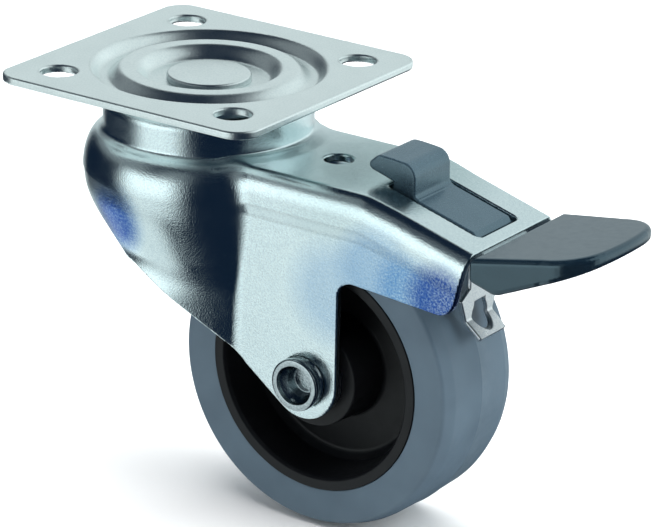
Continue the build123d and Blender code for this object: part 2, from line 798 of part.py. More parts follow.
def release_lever():
    """Lever that fills the slot of the tail and rises to a hook at its front."""
    foot = tail_z(neck_front_x) - web_drop
    flat_z = tail_z(hook_back_x + hook_foot_r) - lever_sink
    under_tip = hook_top_z - hook_t + hook_tip_r / 2
    under_neck = crown_z + hook_tip_r
    end_top = tail_z(lever_x1) - lever_sink
    end_low = lever_x1 + lever_end_lean
    edges = [
        Line((neck_front_x, foot), (neck_front_x, under_neck)),
        Line((neck_front_x, under_neck), (hook_tip_x + hook_tip_r, under_tip)),
        ThreePointArc(
            (hook_tip_x + hook_tip_r, under_tip),
            (hook_tip_x, (under_tip + hook_top_z) / 2),
            (hook_tip_x + 2 * hook_tip_r, hook_top_z),
        ),
        Line((hook_tip_x + 2 * hook_tip_r, hook_top_z), (hook_back_x - hook_back_r, hook_top_z)),
        TangentArc(
            (hook_back_x - hook_back_r, hook_top_z),
            (hook_back_x, hook_top_z - hook_back_r),
            tangent=(1, 0),
        ),
        Line((hook_back_x, hook_top_z - hook_back_r), (hook_back_x, flat_z + hook_foot_r)),
        TangentArc(
            (hook_back_x, flat_z + hook_foot_r),
            (hook_back_x + hook_foot_r, flat_z),
            tangent=(0, -1),
        ),
        Line((hook_back_x + hook_foot_r, flat_z), (lever_x1, end_top)),
        Line((lever_x1, end_top), (end_low, tail_z(end_low) - web_drop)),
        Line((end_low, tail_z(end_low) - web_drop), (neck_front_x, foot)),
    ]
    return across(face_of(edges), -lever_half, lever_half)


os.makedirs("parts", exist_ok=True)
nodes = {
    "top_plate": top_plate(),
    "king_pin": king_pin(),
    "lower_race": lower_race(),
    "race_washer": race_washer(),
    "upper_balls": ball_ring(ring_r, upper_ball_z),
    "lower_balls": ball_ring(lower_pitch_r, lower_ball_z),
    "fork": fork(),
    "axle_rivet": axle_rivet(),
    "bearing_sleeve": ring_on_axle(axle_r + run_gap, sleeve_r, -leg_inner, leg_inner),
    "bearing_rollers": bearing_rollers(),
    "roller_cage": roller_cage(),
    "hub_washer_near": ring_on_axle(sleeve_r + run_gap, hub_washer_r, -hub_half - hub_washer_t, -hub_half),
    "hub_washer_far": ring_on_axle(sleeve_r + run_gap, hub_washer_r, hub_half, hub_half + hub_washer_t),
    "wheel_centre": wheel_centre(),
    "tyre": tyre(),
    "pin_plates": pin_plates(),
    "rocker_pin": rocker_pin(),
    "spring_washers": spring_washers(),
    "brake_rocker": brake_rocker(),
    "brake_tongue": brake_tongue(),
    "tongue_rivets": tongue_rivets(),
    "pedal": pedal(),
    "release_lever": release_lever(),
}
for name, shape in nodes.items():
    save(name, shape)
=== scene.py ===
# %% [markdown]
# # A swivel castor with a foot brake
# The object is a small castor of pressed, zinc-plated steel with a rubber-tyred wheel.
# Its measured frame, with the joints, comes from the CAD model.
# This lesson builds the visible skins round that frame, gives each one a finish, and lights them.

# %% Load the frame
import bpy
import json
import math
import numpy as np
from mathutils import Matrix, Vector


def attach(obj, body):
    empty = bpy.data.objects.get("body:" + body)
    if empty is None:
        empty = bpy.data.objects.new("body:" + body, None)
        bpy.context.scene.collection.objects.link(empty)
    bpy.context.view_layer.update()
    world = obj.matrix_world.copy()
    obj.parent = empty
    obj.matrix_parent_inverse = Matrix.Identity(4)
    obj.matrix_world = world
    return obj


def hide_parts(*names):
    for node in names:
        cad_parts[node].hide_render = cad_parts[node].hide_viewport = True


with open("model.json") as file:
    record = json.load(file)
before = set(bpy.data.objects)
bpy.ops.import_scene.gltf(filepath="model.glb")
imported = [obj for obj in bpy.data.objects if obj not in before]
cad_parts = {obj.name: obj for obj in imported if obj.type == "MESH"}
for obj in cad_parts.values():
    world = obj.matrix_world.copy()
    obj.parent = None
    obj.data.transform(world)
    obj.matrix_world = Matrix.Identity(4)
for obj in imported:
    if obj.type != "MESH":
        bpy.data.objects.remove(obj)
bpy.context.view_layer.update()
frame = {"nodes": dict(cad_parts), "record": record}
MM = 0.001
print("CAD nodes:", sorted(frame["nodes"]))

# %% [markdown]
# ## Skins from a field of distances
# A pressed sheet has no hard corners: every bend is a radius and every cut edge is slightly rolled.
# Such a shape could be modelled with hundreds of hand-placed loops.
# Here each piece is instead written as a *field*: a formula that gives, for any point in space,
# how far it is from the surface, negative inside the metal. Two fields are joined or cut with a
# chosen radius, just as a toolmaker rounds a press tool, and the sheet's thickness is one subtraction.

# %% Join and cut fields with a radius
def cut(a, b, r):
    """What is inside both a and b, with the edge between them rounded by r."""
    return np.minimum(np.maximum(a, b), -r) + np.hypot(np.maximum(a + r, 0), np.maximum(b + r, 0))


def join(a, b, r):
    """What is inside a or b, with the corner between them filled by r."""
    return -cut(-a, -b, r)

# %% [markdown]
# ## From a field to points
# The surface is found on a grid. Every grid cell that it passes through gets one point, which is
# the mean of the places where it crosses the cell's edges. Blender could remesh a rough model in
# the same way, but here the formula itself is asked, so nothing is lost.

# %% One point for every cell that the surface crosses
CORNERS = [(i, j, k) for i in (0, 1) for j in (0, 1) for k in (0, 1)]


def sample(field, low, high, cell):
    """The field's value at every point of a grid that fills the box."""
    count = np.ceil((np.array(high, float) - low) / cell).astype(int) + 1
    x, y, z = [low[i] + cell * np.arange(count[i]) for i in range(3)]
    return np.broadcast_to(field(x[:, None, None], y[None, :, None], z[None, None, :]), count)


def crossed_cells(inside):
    """Cells that have corners on both sides of the surface."""
    nx, ny, nz = np.array(inside.shape) - 1
    filled = sum(inside[i:i + nx, j:j + ny, k:k + nz].astype(np.int8) for i, j, k in CORNERS)
    return np.argwhere((filled > 0) & (filled < len(CORNERS)))


def points_in_cells(value, cells):
    """Where the surface lies in each crossed cell, counted in cells."""
    at_corner = {c: value[tuple((cells + c).T)] for c in CORNERS}
    total, hits = np.zeros((len(cells), 3)), np.zeros(len(cells))
    for start in CORNERS:
        for axis in range(3):
            if start[axis] == 0:
                end = tuple(start[i] + (i == axis) for i in range(3))
                a, b = at_corner[start], at_corner[end]
                crossed = (a < 0) != (b < 0)
                part = np.where(crossed, a / np.where(a == b, 1, a - b), 0)
                point = np.array(start, float) + part[:, None] * (np.arange(3) == axis)
                total += point * crossed[:, None]
                hits += crossed
    return cells + total / hits[:, None]

# %% [markdown]
# Each edge of the grid that runs through the surface has four cells round it. Their four points
# make one face, and it is turned so that its front looks out of the metal.

# %% One face for every grid edge that the surface crosses
def faces_between(inside, cells):
    size = np.array(inside.shape) - 1
    index = np.full(size, -1)
    index[tuple(cells.T)] = np.arange(len(cells))
    step = np.eye(3, dtype=int)
    faces = []
    for axis in range(3):
        u, v = (axis + 1) % 3, (axis + 2) % 3
        near, far = [slice(None)] * 3, [slice(None)] * 3
        near[axis], far[axis] = slice(0, -1), slice(1, None)
        edges = np.argwhere(inside[tuple(near)] != inside[tuple(far)])
        eu, ev = edges[:, u], edges[:, v]
        edges = edges[(eu > 0) & (ev > 0) & (eu < size[u]) & (ev < size[v])]
        round_edge = [edges - step[u] - step[v], edges - step[v], edges, edges - step[u]]
        quads = np.stack([index[tuple(c.T)] for c in round_edge], axis=1)
        turned_in = inside[tuple((edges + step[axis]).T)]
        quads[turned_in] = quads[turned_in][:, ::-1]
        faces.append(quads)
    return np.concatenate(faces)

# %% [markdown]
# Last, each point is pulled exactly on to the surface along the field's slope. The same slope is
# the true normal, so reflections in the polished metal run smoothly over the mesh. Blender's own
# smooth shading would average the faces instead, and the bands of light would waver.

# %% Turn a field into a mesh
PULLS = 4


def slope(field, points, h):
    """The field's slope at each point, from its change over a short step either way."""
    out = np.zeros_like(points)
    for i in range(3):
        step = np.zeros(3)
        step[i] = h
        out[:, i] = (field(*(points + step).T) - field(*(points - step).T)) / (2 * h)
    return out


def mesh_piece(name, points, faces, normals=None):
    """A new object from points in millimetres."""
    mesh = bpy.data.meshes.new(name)
    mesh.from_pydata((np.asarray(points) * MM).tolist(), [], faces)
    mesh.update()
    mesh.shade_smooth()
    if normals is not None:
        mesh.normals_split_custom_set_from_vertices(normals.tolist())
    piece = bpy.data.objects.new(name, mesh)
    bpy.context.scene.collection.objects.link(piece)
    print(name, len(points), "points", len(faces), "faces")
    return piece


def skin(name, field, low, high, cell):
    """The surface where the field is 0, inside the box from low to high."""
    low = np.array(low, float)
    value = sample(field, low, high, cell)
    cells = crossed_cells(value < 0)
    faces = faces_between(value < 0, cells)
    points = low + cell * points_in_cells(value, cells)
    h = cell * 0.02
    for _ in range(PULLS):
        g = slope(field, points, h)
        move = g * (field(*points.T) / np.maximum((g * g).sum(1), 0.1))[:, None]
        length = np.linalg.norm(move, axis=1, keepdims=True)
        points -= move * np.minimum(1, 0.5 * cell / np.maximum(length, 1e-9))
    normals = slope(field, points, h)
    normals /= np.maximum(np.linalg.norm(normals, axis=1, keepdims=True), 1e-9)
    return mesh_piece(name, points, faces.tolist(), normals)

# %% [markdown]
# ## Main sizes
# All sizes are in millimetres and agree with the frame: the origin is on the swivel axis at the
# plate's upper face, +X is the way the wheel trails and the axle runs along Y.

# %% Sizes shared by the pieces
SHEET = 2.0
CROWN_Z = -15.0
HEAD_Z = -5.55
NECK_R = 24.9
AXLE_X, AXLE_Z = 41.0, -63.5
AXLE_HOLE_R = 6.1
LEG = 18.4
BAND = 19.0
BREAK_X = 56.5
TAIL_SLOPE = math.tan(math.radians(15.5))
print("crown at", CROWN_Z, "mm, axle at", AXLE_Z, "mm, legs", 2 * LEG, "mm over their faces")

# %% [markdown]
# ## The fork
# The fork is one blank of 2 mm sheet. A press draws up the round neck for the ball race, wraps the
# front round it like the bow of a boat, and folds the two legs down beside the wheel. The crown is
# flat and then slopes down to the tail. Its edge falls away as a quarter of an ellipse, since the
# press tool has a larger radius down the side than across the top.

# %% Soft steps, soft slopes and egg-shaped corners
def smooth(x, a, b):
    """0 below a, 1 above b, with a soft step between."""
    t = np.clip((x - a) / (b - a), 0, 1)
    return t * t * (3 - 2 * t)


def soft_ramp(v, r):
    """v where it is positive, 0 elsewhere, with a soft corner."""
    return 0.5 * (v + np.sqrt(v * v + r * r))


def tail_drop(x):
    """How far the crown has sloped down at x, with a soft start to the slope."""
    return soft_ramp((x - BREAK_X) * TAIL_SLOPE, 0.35)


def egg_corner(a, b, reach, drop):
    """Top edge that falls away as a quarter of an ellipse."""
    q = np.hypot(np.maximum(a, 0) / reach, np.maximum(b, 0) / drop)
    steep = np.hypot(np.maximum(a, 0) / reach ** 2, np.maximum(b, 0) / drop ** 2)
    curved = (q - 1) * q / np.maximum(steep, 1e-6)
    return np.where((a > 0) & (b > 0), curved, np.maximum(a - reach, b - drop))

# %% [markdown]
# The upper band of each side stands 0.6 mm proud of the leg below it, and a soft step marks where
# it ends. Along the tail the band sinks back until little of it is left. A second sheet laid on
# top would leave a hard line, so the half width itself is changed with the height.

# %% The fork's crown and sides
SIDE_REACH, SIDE_FALL = 3.2, 6.0
SIDE_START_X = 9
BAND_FADE_FROM, BAND_FADE_TO, BAND_FADE = 57, 66, 0.45
STEP_LOW, STEP_HIGH = -11.6, -8.0


def side_form(x, y, z):
    height = z - CROWN_Z + tail_drop(x)
    proud = BAND - LEG - BAND_FADE * smooth(x, BAND_FADE_FROM, BAND_FADE_TO)
    half = LEG + proud * smooth(height, STEP_LOW, STEP_HIGH)
    side = egg_corner(np.abs(y) - half + SIDE_REACH, height + SIDE_FALL, SIDE_REACH, SIDE_FALL)
    return np.maximum(side, SIDE_START_X - x)

# %% [markdown]
# The nose starts as a turned shoulder. Below that, each level is an arc that ends on the crease
# where the wrap meets the leg. The arc's centre slides back with the depth, which makes the egg
# shape of the photo, and low down it turns into a much flatter arc that gives the lower nose its
# even grey. All of it is then joined to the sides and to the round neck.

# %% The fork's nose and its whole outer form
NOSE_TOP_R = 25
NOSE_REACH, NOSE_FALL = 4.5, 9.0
CREASE_X, CREASE_LEAN, CREASE_OUT = 22.9, 0.03, 0.2
FLAT_R, FLAT_TURN = 70, math.radians(33)
FLAT_FROM, FLAT_TO = 15, 26
NECK_EDGE_R, NECK_FOOT_R = 3.0, 1.3


def nose_form(x, y, deep):
    """The rounded front; deep is the distance below the shoulder."""
    crease_x, crease_y = CREASE_X - CREASE_LEAN * deep, LEG + CREASE_OUT
    slide = 0.36 * soft_ramp(deep - 5, 3) - 0.22 * soft_ramp(deep - 21, 3)
    wrap = np.hypot(x - slide, y) - np.hypot(crease_x - slide, crease_y)
    flat_x = x - crease_x + FLAT_R * math.sin(FLAT_TURN)
    flat_y = np.abs(y) - crease_y + FLAT_R * math.cos(FLAT_TURN)
    flatter = smooth(deep, FLAT_FROM, FLAT_TO)
    wrap = wrap * (1 - flatter) + (np.hypot(flat_x, flat_y) - FLAT_R) * flatter
    shoulder = egg_corner(np.hypot(x, y) - NOSE_TOP_R, -deep, NOSE_REACH, NOSE_FALL)
    return np.where(deep < 0, shoulder, wrap)


def fork_form(x, y, z):
    """The fork's outer form, as if it were solid."""
    deep = CROWN_Z - NOSE_FALL - z
    crease_r = 2.4 - 1.6 * smooth(deep, 2, 18)
    body = join(side_form(x, y, z), nose_form(x, y, deep), crease_r)
    neck = cut(np.hypot(x, y) - NECK_R, z - HEAD_Z, NECK_EDGE_R)
    return join(body, neck, NECK_FOOT_R)

# %% [markdown]
# Seen along the axle, the blank's outline is a slanting cut at the front that bows out a little
# where it crosses the crease, a round end about the axle, a short rear edge, and the skirt of the
# tail. It is written as a list of points, so that one cut through the whole form trims both sides.

# %% The fork's outline from the side
FRONT_CUT = 36.1
FRONT_X, TOP_Z, TAIL_X = -31, 10, 85
BOW_FROM, BOW_LENGTH, BOW = -5, 31, 2.3
LEG_END_R = 9.3
NOTCH = (54, -40.6, 3.8)
TAIL_CORNER = (77.2, -33.7, 4.8)


def arc_points(cx, cy, r, start, end, steps):
    """Points along an arc, with its angles in degrees."""
    return [(cx + r * math.cos(math.radians(a)), cy + r * math.sin(math.radians(a)))
            for a in np.linspace(start, end, steps)]


def fork_outline():
    turn = math.radians(FRONT_CUT)
    touch = (AXLE_X - LEG_END_R * math.sin(turn), AXLE_Z - LEG_END_R * math.cos(turn))
    front_z = touch[1] + (touch[0] - FRONT_X) * math.tan(turn)
    points = [(FRONT_X, TOP_Z), (FRONT_X, front_z)]
    for x in range(BOW_FROM, BOW_FROM + BOW_LENGTH, 3):
        bow = BOW * math.sin(math.pi * ((x - BOW_FROM) / BOW_LENGTH) ** 0.75)
        points.append((x, front_z - (x - FRONT_X) * math.tan(turn) + bow))
    points += arc_points(AXLE_X, AXLE_Z, LEG_END_R, -90 - FRONT_CUT, 0, 16)
    points += arc_points(*NOTCH, 180, 90, 8)
    points += arc_points(*TAIL_CORNER, -98, -10, 9)
    return points + [(TAIL_X, -22.9), (TAIL_X, TOP_Z)]


FORK_OUTLINE = fork_outline()
print("fork outline:", len(FORK_OUTLINE), "points")

# %% [markdown]
# The form becomes a sheet by taking away the same form, one thickness further in. The slot in the
# tail lets the release lever through, and a small round hole is left from the press tool's
# locating pin. Each cut has its own small radius, which catches a thin line of light.

# %% Cut the fork from its sheet
SLOT_X, SLOT_HALF_X, SLOT_HALF_Y, SLOT_CORNER_R = 68.75, 12.75, 8.2, 1.6
CROWN_HOLE_X, CROWN_HOLE_R = 37.3, 3.4
HEAD_HOLE_R = 8.2


def inside_outline(px, py, points):
    """Distance from a closed outline of straight pieces, negative inside it."""
    points = np.asarray(points, float)
    best = np.full(np.broadcast(px, py).shape, 1e9)
    inside = np.zeros(best.shape, bool)
    for (ax, ay), (bx, by) in zip(points, np.roll(points, -1, axis=0)):
        ex, ey = bx - ax, by - ay
        wx, wy = px - ax, py - ay
        t = np.clip((wx * ex + wy * ey) / (ex * ex + ey * ey), 0, 1)
        best = np.minimum(best, (wx - ex * t) ** 2 + (wy - ey * t) ** 2)
        if ey != 0:
            inside ^= ((ay > py) != (by > py)) & (wx < ex * wy / ey)
    return np.where(inside, -1, 1) * np.sqrt(best)


def rounded_box(x, y, half_x, half_y, r):
    """Distance from a flat rounded rectangle."""
    dx, dy = np.abs(x) - half_x + r, np.abs(y) - half_y + r
    return np.hypot(np.maximum(dx, 0), np.maximum(dy, 0)) + np.minimum(np.maximum(dx, dy), 0) - r


def fork_field(x, y, z):
    form = fork_form(x, y, z)
    f = np.maximum(form, -(form + SHEET))
    f = cut(f, inside_outline(x, z, FORK_OUTLINE), 0.45)
    f = cut(f, -rounded_box(x - SLOT_X, y, SLOT_HALF_X, SLOT_HALF_Y, SLOT_CORNER_R), 0.4)
    f = cut(f, CROWN_HOLE_R - np.hypot(x - CROWN_HOLE_X, y), 0.5)
    f = cut(f, HEAD_HOLE_R - np.hypot(x, y), 0.4)
    return np.maximum(f, AXLE_HOLE_R - np.hypot(x - AXLE_X, z - AXLE_Z))


fork_cell = 0.46
fork_skin = skin("fork_skin", fork_field, (-30.6, -30.6, -73.8), (86, 30.6, -4.6), fork_cell)
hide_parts("fork")
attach(fork_skin, "swivel")

# %% [markdown]
# ## The top plate
# The plate is a square of sheet with rounded corners, which is bolted under the thing that rolls.
# Two press rings round a shallow well stiffen it and form the upper ball track. The rings are a
# list of radii and heights with soft slopes between them, which is easier to set against the photo
# than a modelled profile, and each bolt hole has a rounded rim.

# %% The top plate
RINGS = [(28.2, 0.0), (25.2, -2.6), (24.2, -2.6), (20.4, -0.2), (17.6, -0.2), (13.8, -3.2)]
PLATE_HALF, PLATE_CORNER_R = 36, 6
BOLT_AT, BOLT_HOLE_R = 25, 4.3
PIN_HOLE_R = 6.1


def ring_height(r):
    """Height of the plate's upper face at a distance from the swivel axis."""
    height = np.zeros_like(r)
    for (r1, z1), (r0, z0) in zip(RINGS[:-1], RINGS[1:]):
        height = np.where(r < r1, z0 + (z1 - z0) * smooth(r, r0, r1), height)
    return height


def plate_field(x, y, z):
    r = np.hypot(x, y)
    top = ring_height(r)
    nudge = 0.05
    tilt = np.sqrt(1 + ((ring_height(r + nudge) - ring_height(r - nudge)) / (2 * nudge)) ** 2)
    f = np.maximum(z - top, top - SHEET - z) / tilt
    f = cut(f, rounded_box(x, y, PLATE_HALF, PLATE_HALF, PLATE_CORNER_R), 0.5)
    f = cut(f, BOLT_HOLE_R - np.hypot(np.abs(x) - BOLT_AT, np.abs(y) - BOLT_AT), 0.6)
    return np.maximum(f, PIN_HOLE_R - r)


plate_cell = 0.42
plate_skin = skin("plate_skin", plate_field, (-37, -37, -6.2), (37, 37, 1), plate_cell)
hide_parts("top_plate")
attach(plate_skin, "plate")

# %% [markdown]
# ## Turned pieces
# The king pin, the wheel, the tyre and the axle are round, so each is a half-outline swept round
# its axis. Blender's screw modifier could do the sweep, but plain points keep the script short to
# run. The outline is softened first, because no turned or moulded edge is truly sharp.

# %% Soften an outline
def soften(points, radius, steps=5):
    """Replace each corner (r, h) or (r, h, radius) by a short arc."""
    out = []
    for i, point in enumerate(points):
        p = np.array(point[:2], float)
        if i in (0, len(points) - 1):
            out.append(tuple(p))
            continue
        rad = point[2] if len(point) > 2 else radius
        a, b = np.array(points[i - 1][:2], float) - p, np.array(points[i + 1][:2], float) - p
        la, lb = np.linalg.norm(a), np.linalg.norm(b)
        a, b = a / la, b / lb
        angle = math.acos(np.clip(a @ b, -1, 1))
        if rad <= 0 or angle > math.radians(176):
            out.append(tuple(p))
            continue
        d = min(rad / math.tan(angle / 2), 0.45 * la, 0.45 * lb)
        start, end = p + a * d, p + b * d
        for t in np.linspace(0, 1, steps):
            out.append(tuple((1 - t) ** 2 * start + 2 * t * (1 - t) * p + t * t * end))
    return out


def mirrored(points):
    """The same points on the other side of the middle, in the opposite order."""
    return [(a, -b) for a, b in points[::-1]]

# %% [markdown]
# Each point of the outline becomes one ring of points, and a point on the axis stays single, so
# that a closed end is a fan of triangles with no doubled corner.

# %% Sweep an outline round an axis
def turned(name, outline, segments=192, axle=False):
    """Sweep an open outline of (radius, height) round Z, or round the axle."""
    angles = np.linspace(0, 2 * math.pi, segments, endpoint=False)
    points, rings, faces = [], [], []
    for r, h in outline:
        count = 1 if r < 1e-6 else segments
        rings.append(list(range(len(points), len(points) + count)))
        points += [(0, 0, h)] if count == 1 else [(r * math.cos(a), r * math.sin(a), h) for a in angles]
    for a, b in zip(rings[:-1], rings[1:]):
        for i in range(segments):
            j = (i + 1) % segments
            if len(a) == 1:
                faces.append((a[0], b[j], b[i]))
            elif len(b) == 1:
                faces.append((a[i], a[j], b[0]))
            else:
                faces.append((a[i], a[j], b[j], b[i]))
    points = np.array(points)
    if axle:
        points = np.stack([points[:, 0] + AXLE_X, points[:, 2], AXLE_Z - points[:, 1]], axis=1)
    return mesh_piece(name, points, faces)

# %% [markdown]
# ## The king pin
# The rivet in the plate's well holds the castor together. Its flat head is all that the photo
# shows. Its lower end is formed over the race below the fork, and is swept in the same outline.

# %% The king pin
PIN_R, HEAD_R = 6, 10
HEAD_TOP, WELL_Z = -1.6, -3.2
END_TOP, END_LOW = -13.65, -16.25
pin_half = [
    (0, HEAD_TOP), (HEAD_R, HEAD_TOP, 0.9), (HEAD_R, WELL_Z + 0.1), (HEAD_R - 0.1, WELL_Z),
    (PIN_R, WELL_Z), (PIN_R, END_TOP),
    (9, END_TOP), (8.7, -15.6, 0.8), (5, END_LOW), (0, END_LOW),
]
rivet = turned("rivet_skin", soften(pin_half, 0.15)[::-1])
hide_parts("king_pin")
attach(rivet, "plate")

# %% [markdown]
# ## The wheel centre
# The wheel centre is a dark plastic moulding with a raised lip, a dished face and a round hub.
# Both its sides are the same, so one half is drawn from the hub outwards and then mirrored.

# %% The wheel centre
HALF_W = 14.0
RIM_R = 28.1
LIP_Y = HALF_W + 0.15
wheel_half = [
    # radius, distance from the middle, and the corner's own rounding
    (6.0, 14.5), (12.1, 14.5, 0.5),
    (12.7, 3.3, 1.0), (22.3, 2.2, 1.4), (23.9, 4.2, 1.0),
    (25.2, 13.2, 0.8), (25.7, LIP_Y, 0.45), (RIM_R, LIP_Y, 0.25), (RIM_R, HALF_W - 0.6, 0),
]
near_side = soften(wheel_half, 0.3)
wheel = turned("wheel_skin", near_side + [(RIM_R, 0)] + mirrored(near_side), 256, axle=True)
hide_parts("wheel_centre")
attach(wheel, "wheel")

# %% [markdown]
# ## The tyre
# The grey rubber ring is moulded on to the wheel centre. Its tread is nearly flat with a large
# shoulder radius, and a mould line, a tenth of a millimetre high, runs round the middle. A bump in
# the material could draw that line, but a real ridge also shows at the edge of the picture.

# %% The tyre
TREAD_R, RIDGE_R = 37.42, 37.57
tread = [(28.05, HALF_W - 0.5), (28.2, HALF_W - 0.1, 0.2), (36.1, HALF_W, 1.2), (37.2, 10.5, 3.0),
         (TREAD_R, 0.40)]
near_side = soften(tread, 0.3, 8) + [(37.55, 0.14)]
tyre = turned("tyre_skin", near_side + [(RIDGE_R, 0)] + mirrored(near_side), 256, axle=True)
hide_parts("tyre")
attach(tyre, "wheel")

# %% [markdown]
# ## The axle rivet
# A steel pin joins the two legs. Its ends are drilled, so that they can be rolled over. That leaves
# a bright ring round a countersunk mouth, and a narrower neck in shadow between ring and leg.

# %% The axle rivet
AXLE_R, AXLE_END = 6.0, 21.9
DRILL_R, DRILL_DEPTH = 3.3, 5.0
ROLLED_R, NECKED_R = 6.3, 5.7
axle_half = [
    (0, AXLE_END - DRILL_DEPTH), (DRILL_R, AXLE_END - DRILL_DEPTH, 0.3),
    (3.4, AXLE_END - 2.6, 0.3), (4.5, AXLE_END - 1.0, 0.3), (4.65, AXLE_END, 0.3),
    (ROLLED_R, AXLE_END, 0.6), (ROLLED_R, AXLE_END - 1.3, 0.5), (NECKED_R, AXLE_END - 2.3, 0.5),
    (5.75, LEG + 0.5, 0.3), (AXLE_R, LEG, 0.3), (AXLE_R, 0),
]
near_side = soften(axle_half, 0.2)
axle = turned("axle_skin", (near_side + mirrored(near_side)[1:])[::-1], 96, axle=True)
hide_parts("axle_rivet")
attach(axle, "swivel")

# %% [markdown]
# ## The pedal
# Pedal and release lever are plastic mouldings on the two ends of one rocking steel lever: the foot
# presses the pedal down to brake, and the raised hook to let go. From above, the pedal has straight
# sides, two wide corner arcs and a front that bows a little. Each arc goes through three points
# read from the photo, which is simpler than to guess its centre.

# %% The pedal's plan
PEDAL_X0 = 86.2


def arc_through(a, b, c, steps):
    """Points on the circle through a, b and c, from a to c."""
    (ax, ay), (bx, by), (cx, cy) = a, b, c
    d = 2 * (ax * (by - cy) + bx * (cy - ay) + cx * (ay - by))
    sa, sb, sc = ax * ax + ay * ay, bx * bx + by * by, cx * cx + cy * cy
    x0 = (sa * (by - cy) + sb * (cy - ay) + sc * (ay - by)) / d
    y0 = (sa * (cx - bx) + sb * (ax - cx) + sc * (bx - ax)) / d
    start = math.degrees(math.atan2(ay - y0, ax - x0))
    end = math.degrees(math.atan2(cy - y0, cx - x0))
    return arc_points(x0, y0, math.hypot(ax - x0, ay - y0), start, end, steps)


pedal_side = [(PEDAL_X0, 19.5), (102.5, 18.1)]
pedal_corner = arc_through((103.5, 17.9), (111.6, 15.2), (114.8, 9.6), 14)
pedal_front = arc_through((115.0, 9.0), (115.8, 0), (115.0, -9.0), 13)
PEDAL_PLAN = pedal_side + pedal_corner + pedal_front + mirrored(pedal_side + pedal_corner)
print("pedal plan:", len(PEDAL_PLAN), "points")

# %% [markdown]
# From the side it is a wedge: a gently rising tread, a steeper underside that thins towards the
# front, and a heel that drops to the rocking lever. A moulder leaves no thick lumps, so the
# underside is a pocket with three ribs across it.

# %% The pedal
TREAD_Z, TREAD_SLOPE = -22.6, 0.18
HEEL_X, HEEL_Z = 92.5, -30.3
UNDER_SLOPE, HEEL_SLOPE = 0.43, 0.34
WALL_T, POCKET_DROP, POCKET_X = 2.4, 6.2, 88.6
RIB_HALF, OUTER_RIB_Y = 0.8, 9.65


def pedal_field(x, y, z):
    tread_z = TREAD_Z + (x - PEDAL_X0) * TREAD_SLOPE
    top = (z - tread_z) / math.hypot(1, TREAD_SLOPE)
    under = (HEEL_Z + (x - HEEL_X) * UNDER_SLOPE - z) / math.hypot(1, UNDER_SLOPE)
    heel = ((HEEL_X - x) * HEEL_SLOPE + (HEEL_Z - z)) / math.hypot(HEEL_SLOPE, 1)
    plan = inside_outline(x, y, PEDAL_PLAN)
    f = cut(cut(cut(under, heel, 0.8), plan, 1.1), top, 1.5)
    pocket = cut(cut(plan + WALL_T, z - tread_z + POCKET_DROP, 0.5), POCKET_X - x, 0.5)
    rib = np.minimum(np.abs(y) - RIB_HALF, np.abs(np.abs(y) - OUTER_RIB_Y) - RIB_HALF)
    return cut(f, -np.maximum(pocket, -rib), 0.4)


pedal_cell = 0.42
pedal = skin("pedal_skin", pedal_field, (85.2, -20.4, -31.6), (117, 20.4, -16.6), pedal_cell)
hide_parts("pedal")
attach(pedal, "brake")

# %% [markdown]
# ## The release lever
# The lever fills the slot in the tail, level with the sheet, and rises in front as a hook for the
# toe. Its shape is the same all the way across, so a side outline and a width are enough.

# %% The release lever
LEVER_SINK, LEVER_HALF = 0.15, 7.4
LEVER_FOOT_X, LEVER_END_X, LEVER_LOW_Z = 64.4, 79.3, -24.6


def lever_top(x):
    """Just below the upper face of the tail."""
    return CROWN_Z - (x - BREAK_X) * TAIL_SLOPE - LEVER_SINK


def lever_side():
    """Outline of the lever from the side: front, rounded nose of the hook, back, and flat tail."""
    end_z = lever_top(LEVER_END_X)
    points = [(57.3, -18.3), (57.3, -14.2), (54.8, -13.4), (51.6, -12.5)]
    points += arc_points(51.75, -11.25, 1.15, 240, 135, 6)
    points += arc_points(53.9, -11.1, 2.5, 128, 90, 5)
    points += [(56.8, -8.72), (59.6, -8.98)]
    points += arc_points(59.7, -12.5, 3.5, 84, 8, 9)
    points += arc_points(64.5, -15.9, 1.25, 178, 262, 6)
    points += [(LEVER_FOOT_X, lever_top(LEVER_FOOT_X)), (LEVER_END_X, end_z)]
    return points + [(LEVER_END_X + 1.0, end_z - 1.2), (79.8, LEVER_LOW_Z)]


LEVER_SIDE = lever_side()


def lever_field(x, y, z):
    return cut(inside_outline(x, z, LEVER_SIDE), np.abs(y) - LEVER_HALF, 0.5)


lever_cell = 0.3
lever = skin("lever_skin", lever_field, (49.8, -8.2, -25.2), (81.2, 8.2, -7.8), lever_cell)
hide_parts("release_lever")
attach(lever, "brake")

# %% [markdown]
# ## The brake tongue
# A strip of thin sheet hangs from the rocking lever and swings on to the tread. Its lower end is
# bent outwards, and a keyhole over the bend lets it flex. The keyhole and the stepped edge are
# drawn on the flat strip, with the length measured round the bend, as the sheet is cut in reality.

# %% The brake tongue
TONGUE_X, TONGUE_BEND_Z = 76.5, -44.2
TONGUE_HALF_T = 0.5
LIP, LIP_LENGTH = math.radians(40), 5.6
TONGUE_EDGE = [(-30, 4.0), (-7.6, 4.0), (-5.4, 7.6), (-0.1, 5.5), (7, 5.1)]
TONGUE_OUTLINE = TONGUE_EDGE + mirrored(TONGUE_EDGE)
KEY_HALF, KEY_HEIGHT = 2.2, 4.0
KEY_HOLE_R, KEY_HOLE_UP = 3.1, 0.7


